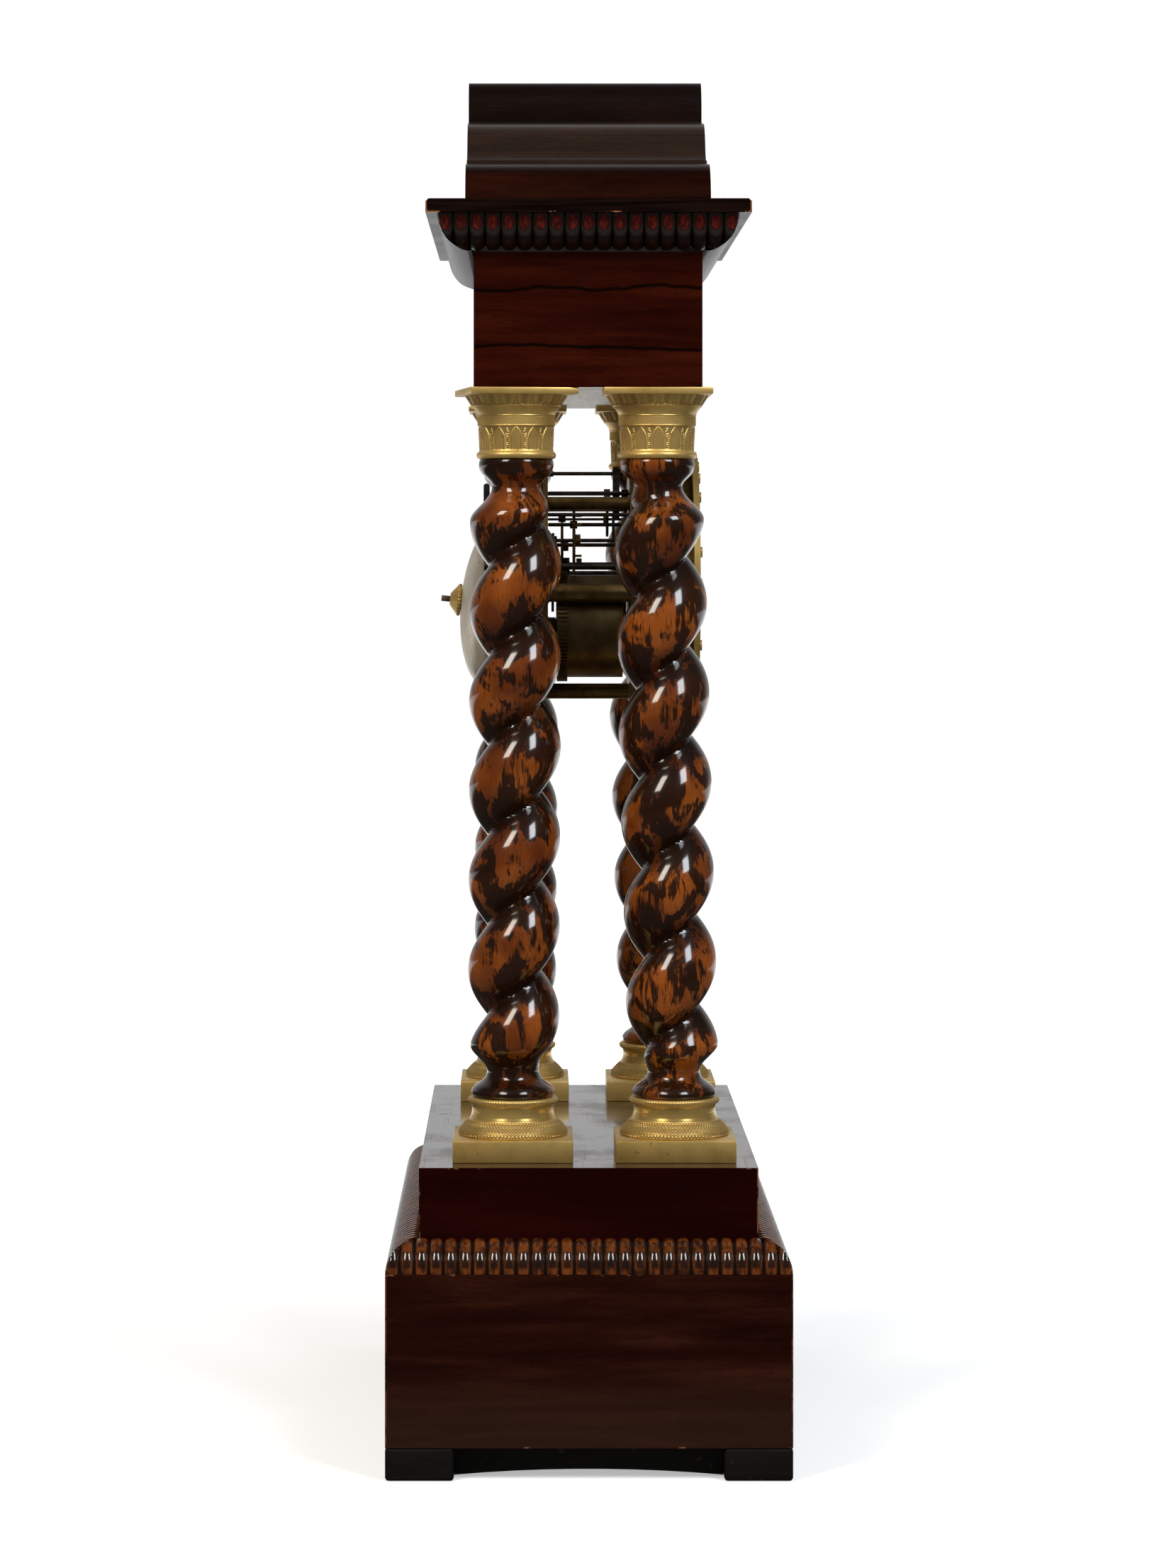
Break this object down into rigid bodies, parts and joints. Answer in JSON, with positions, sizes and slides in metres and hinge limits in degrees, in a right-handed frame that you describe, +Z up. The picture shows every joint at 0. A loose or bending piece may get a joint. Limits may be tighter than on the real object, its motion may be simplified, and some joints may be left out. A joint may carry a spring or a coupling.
{
  "type": "portico clock",
  "caption": "Wooden portico clock: twisted columns on a reeded base carry a frieze and pediment, with a round striking movement, bell and pendulum.",
  "frame": {"origin": "centre of the base at the table", "axes": "+Z up, -Y out of the dial (the front), +X to the right of someone who faces the dial"},
  "size_m": [0.3, 0.16, 0.5625],
  "materials": {
    "rosewood": "dark red-brown veneer, shellac polish, fine dark figure",
    "ebonised": "black stained wood, worn at the edges",
    "column_wood": "glossy orange-brown veneer with black-brown streaks",
    "pale_wood": "bare pale board",
    "cast_brass": "cast and chased, muted satin gilding",
    "movement_brass": "aged brushed brass",
    "steel": "aged polished steel",
    "blued_steel": "dark blued steel",
    "bell_metal": "greyish turned bell metal",
    "enamel": "glossy off-white enamel",
    "iron": "dark iron",
    "glass": "clear glass"
  },
  "bodies": {
    "case": {"block_feet": "ebonised", "apron_frame": "ebonised", "base_carcass": "rosewood", "base_reed_moulding": "rosewood", "upper_step": "rosewood", "column_bases": "cast_brass", "column_shafts": "column_wood", "column_capitals": "cast_brass", "tie_rods": "iron", "tie_rod_nuts": "iron", "frieze_carcass": "rosewood", "frieze_soffit": "pale_wood", "cornice_reed_moulding": "rosewood", "cornice_slab": "ebonised", "pediment_lower": "rosewood", "pediment_middle": "rosewood", "pediment_top": "rosewood", "hanger_bracket": "movement_brass", "hanger_screws": "steel", "dial_pan": "movement_brass", "dial": "enamel", "dial_pillars": "movement_brass", "front_plate": "movement_brass", "back_plate": "movement_brass", "plate_pillars": "movement_brass", "suspension_cock": "movement_brass", "suspension_spring": "steel", "bell_stand": "steel", "bell": "bell_metal", "bell_nut": "cast_brass"},
    "bezel_door": {"bezel": "cast_brass", "bezel_glass": "glass"},
    "going_barrel_body": {"going_barrel": "movement_brass"},
    "going_winder": {"going_winding_arbor": "steel"},
    "going_intermediate": {"going_intermediate_wheel": "movement_brass"},
    "centre": {"centre_wheel": "movement_brass"},
    "third": {"third_wheel": "movement_brass"},
    "escape": {"escape_wheel": "movement_brass"},
    "anchor": {"pallet_anchor": "steel", "crutch": "movement_brass"},
    "pendulum": {"pendulum_rod": "steel", "pendulum_bob": "movement_brass", "rating_nut": "movement_brass"},
    "regulator": {"regulator_arbor": "steel"},
    "minute_work": {"cannon_pinion": "steel", "minute_hand": "blued_steel"},
    "minute_wheel_body": {"minute_wheel": "movement_brass"},
    "hour_work": {"hour_wheel": "movement_brass", "hour_hand": "blued_steel"},
    "strike_barrel_body": {"strike_barrel": "movement_brass"},
    "strike_winder": {"strike_winding_arbor": "steel"},
    "strike_intermediate": {"strike_intermediate_wheel": "movement_brass", "count_wheel": "movement_brass"},
    "pin": {"pin_wheel": "movement_brass"},
    "locking": {"locking_wheel": "movement_brass"},
    "fly_body": {"fly": "steel"},
    "count_lever_body": {"count_lever": "steel"},
    "hammer_body": {"hammer": "steel"},
    "going_click_body": {"going_click": "steel"},
    "strike_click_body": {"strike_click": "steel"}
  },
  "joints": [
    {"name": "minute_hand_turn", "type": "hinge", "parent": "case", "child": "minute_work", "pos_m": [0, 0, 0.351], "axis": [0, 1, 0], "continuous": true},
    {"name": "minute_wheel_turn", "type": "hinge", "parent": "case", "child": "minute_wheel_body", "pos_m": [-0.00849, 0, 0.35949], "axis": [0, 1, 0], "continuous": true},
    {"name": "hour_hand_turn", "type": "hinge", "parent": "case", "child": "hour_work", "pos_m": [0, 0, 0.351], "axis": [0, 1, 0], "continuous": true},
    {"name": "third_wheel_turn", "type": "hinge", "parent": "case", "child": "third", "pos_m": [0, 0, 0.3674], "axis": [0, 1, 0], "continuous": true},
    {"name": "centre_wheel_turn", "type": "hinge", "parent": "case", "child": "centre", "pos_m": [0, 0, 0.351], "axis": [0, 1, 0], "continuous": true},
    {"name": "going_intermediate_turn", "type": "hinge", "parent": "case", "child": "going_intermediate", "pos_m": [0.01719, 0, 0.35479], "axis": [0, 1, 0], "continuous": true},
    {"name": "going_barrel_turn", "type": "hinge", "parent": "case", "child": "going_barrel_body", "pos_m": [0.0218, 0, 0.3332], "axis": [0, 1, 0], "continuous": true},
    {"name": "escape_wheel_turn", "type": "hinge", "parent": "case", "child": "escape", "pos_m": [0, 0, 0.37835], "axis": [0, 1, 0], "continuous": true},
    {"name": "going_winder_turn", "type": "hinge", "parent": "case", "child": "going_winder", "pos_m": [0.0218, 0, 0.3332], "axis": [0, 1, 0], "continuous": true},
    {"name": "locking_wheel_turn", "type": "hinge", "parent": "case", "child": "locking", "pos_m": [-0.01445, 0, 0.37591], "axis": [0, 1, 0], "continuous": true},
    {"name": "pin_wheel_turn", "type": "hinge", "parent": "case", "child": "pin", "pos_m": [-0.0267, 0, 0.36914], "axis": [0, 1, 0], "continuous": true},
    {"name": "strike_intermediate_turn", "type": "hinge", "parent": "case", "child": "strike_intermediate", "pos_m": [-0.01595, 0, 0.35845], "axis": [0, 1, 0], "continuous": true},
    {"name": "strike_barrel_turn", "type": "hinge", "parent": "case", "child": "strike_barrel_body", "pos_m": [-0.0218, 0, 0.3332], "axis": [0, 1, 0], "continuous": true},
    {"name": "fly_turn", "type": "hinge", "parent": "case", "child": "fly_body", "pos_m": [-0.0162, 0, 0.3892], "axis": [0, 1, 0], "continuous": true},
    {"name": "strike_winder_turn", "type": "hinge", "parent": "case", "child": "strike_winder", "pos_m": [-0.0218, 0, 0.3332], "axis": [0, 1, 0], "continuous": true},
    {"name": "pendulum_swing", "type": "hinge", "parent": "case", "child": "pendulum", "pos_m": [0, 0.0276, 0.3892], "axis": [0, 1, 0], "range_deg": [-3.5, 3.5]},
    {"name": "anchor_rock", "type": "hinge", "parent": "case", "child": "anchor", "pos_m": [0, 0, 0.3892], "axis": [0, 1, 0], "range_deg": [-3.5, 3.5]},
    {"name": "hammer_lift", "type": "hinge", "parent": "case", "child": "hammer_body", "pos_m": [-0.0395, 0, 0.3585], "axis": [0, -1, 0], "range_deg": [0, 12], "stiffness_Nm_per_rad": 0.02},
    {"name": "count_lever_lift", "type": "hinge", "parent": "case", "child": "count_lever_body", "pos_m": [-0.0365, 0, 0.3799], "axis": [0, -1, 0], "range_deg": [0, 10]},
    {"name": "bezel_door_swing", "type": "hinge", "parent": "case", "child": "bezel_door", "pos_m": [0.0578, -0.04615, 0.351], "axis": [0, 0, 1], "range_deg": [0, 100]},
    {"name": "regulator_turn", "type": "hinge", "parent": "case", "child": "regulator", "pos_m": [0, 0, 0.3978], "axis": [0, 1, 0], "range_deg": [-180, 180]},
    {"name": "going_click_lift", "type": "hinge", "parent": "case", "child": "going_click_body", "pos_m": [0.02679, -0.0219, 0.35133], "axis": [0, -1, 0], "range_deg": [0, 8], "stiffness_Nm_per_rad": 0.004},
    {"name": "strike_click_lift", "type": "hinge", "parent": "case", "child": "strike_click_body", "pos_m": [-0.02679, -0.0219, 0.35133], "axis": [0, 1, 0], "range_deg": [0, 8], "stiffness_Nm_per_rad": 0.004}
  ],
  "couplings": [
    {"joint": "minute_wheel_turn", "follows": "minute_hand_turn", "ratio": -0.33333},
    {"joint": "hour_hand_turn", "follows": "minute_hand_turn", "ratio": 0.083333},
    {"joint": "centre_wheel_turn", "follows": "third_wheel_turn", "ratio": -0.10811},
    {"joint": "going_intermediate_turn", "follows": "third_wheel_turn", "ratio": 0.01386},
    {"joint": "going_barrel_turn", "follows": "third_wheel_turn", "ratio": -0.00198},
    {"joint": "escape_wheel_turn", "follows": "third_wheel_turn", "ratio": -9.4286},
    {"joint": "pin_wheel_turn", "follows": "locking_wheel_turn", "ratio": -0.11111},
    {"joint": "strike_intermediate_turn", "follows": "locking_wheel_turn", "ratio": 0.013468},
    {"joint": "strike_barrel_turn", "follows": "locking_wheel_turn", "ratio": -0.001924},
    {"joint": "fly_turn", "follows": "locking_wheel_turn", "ratio": -8.5714},
    {"joint": "anchor_rock", "follows": "pendulum_swing", "ratio": 1}
  ]
}
